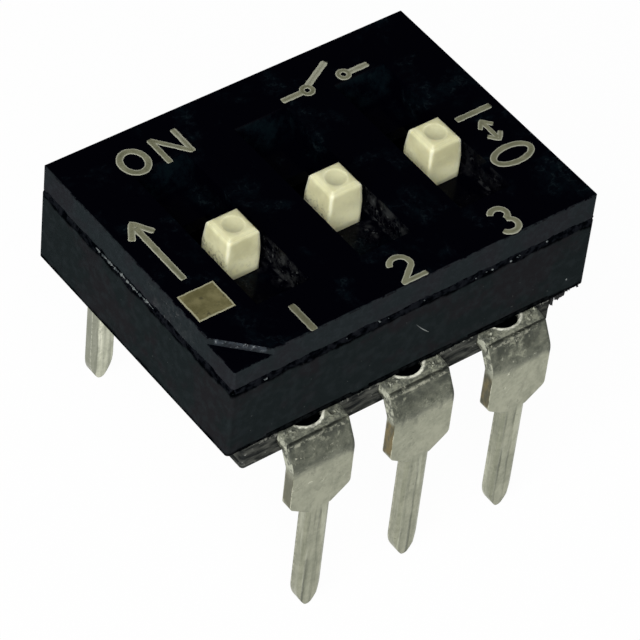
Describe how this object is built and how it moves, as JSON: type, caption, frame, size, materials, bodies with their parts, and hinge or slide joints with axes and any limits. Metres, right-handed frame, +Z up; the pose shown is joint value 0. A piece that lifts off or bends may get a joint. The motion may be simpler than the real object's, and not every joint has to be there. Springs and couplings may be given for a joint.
{
  "type": "dip switch",
  "caption": "Slide DIP switch for a through-hole board: raised ivory actuators in wells in a glossy black cover, over rows of bent, punched and pointed terminals.",
  "frame": {"origin": "middle of the pin footprint, on the board's surface, which the terminals' shoulders meet", "axes": "+X along the row from way 1 to way 3, +Y from OFF to ON, +Z up, away from the board"},
  "size_m": [0.0092, 0.0078, 0.008],
  "materials": {
    "cover": "glossy moulded thermoplastic, with printed markings",
    "housing": "dark grey moulded thermoplastic",
    "base": "dark grey moulded thermoplastic",
    "actuator": "smooth ivory acetal",
    "contact": "gold-plated spring strip",
    "terminal": "tin-plated copper alloy, bare at the sheared edges"
  },
  "bodies": {
    "switch_body": {"cover": "cover", "housing": "housing", "base_plate": "base", "terminal_1": "terminal", "terminal_2": "terminal", "terminal_3": "terminal", "terminal_4": "terminal", "terminal_5": "terminal", "terminal_6": "terminal"},
    "slider_1": {"slider_1": "actuator", "contact_spring_1": "contact"},
    "slider_2": {"slider_2": "actuator", "contact_spring_2": "contact"},
    "slider_3": {"slider_3": "actuator", "contact_spring_3": "contact"}
  },
  "joints": [
    {"name": "slide_1", "type": "slide", "parent": "switch_body", "child": "slider_1", "axis": [0, 1, 0], "range_m": [0, 0.0008]},
    {"name": "slide_2", "type": "slide", "parent": "switch_body", "child": "slider_2", "axis": [0, 1, 0], "range_m": [0, 0.0008]},
    {"name": "slide_3", "type": "slide", "parent": "switch_body", "child": "slider_3", "axis": [0, 1, 0], "range_m": [0, 0.0008]}
  ]
}
